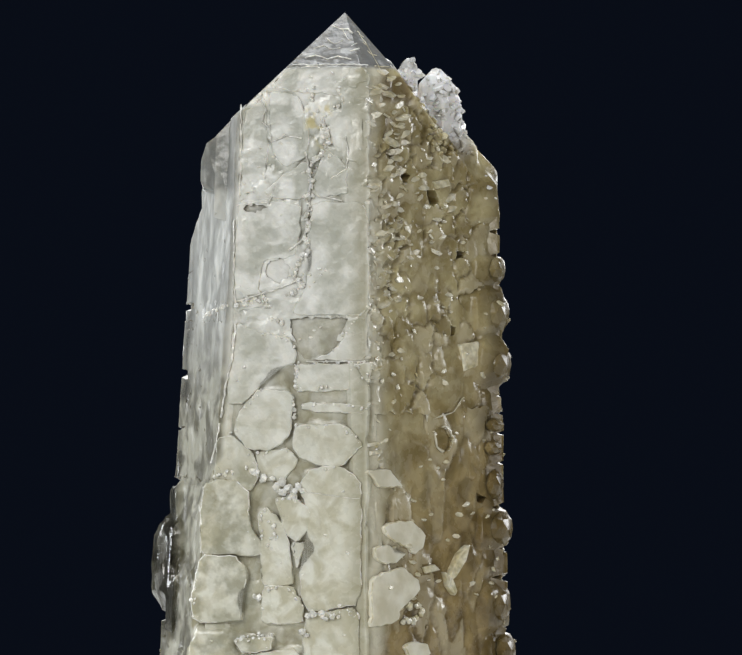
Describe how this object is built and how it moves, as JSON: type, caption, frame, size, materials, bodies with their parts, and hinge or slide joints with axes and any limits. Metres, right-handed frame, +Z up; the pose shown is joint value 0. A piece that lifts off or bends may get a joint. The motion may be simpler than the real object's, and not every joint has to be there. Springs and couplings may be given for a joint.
{
  "type": "skeletal quartz crystal",
  "caption": "Upright skeletal quartz point with stepped plates on six faces, a sloping clear tip and a flat sawn base to stand on.",
  "frame": {"origin": "on the sawn flat base, under the axis of the prism faces and straight below the tip seen from the front", "axes": "+Z up the crystal towards its tip, -Y towards the side that the picture shows, +X to that side's right"},
  "size_m": [0.0523, 0.0466, 0.1],
  "materials": {
    "quartz": "milky to clear quartz with glossy growth faces, tan on one side"
  },
  "bodies": {
    "root": {"quartz_crystal": "quartz"}
  },
  "joints": []
}
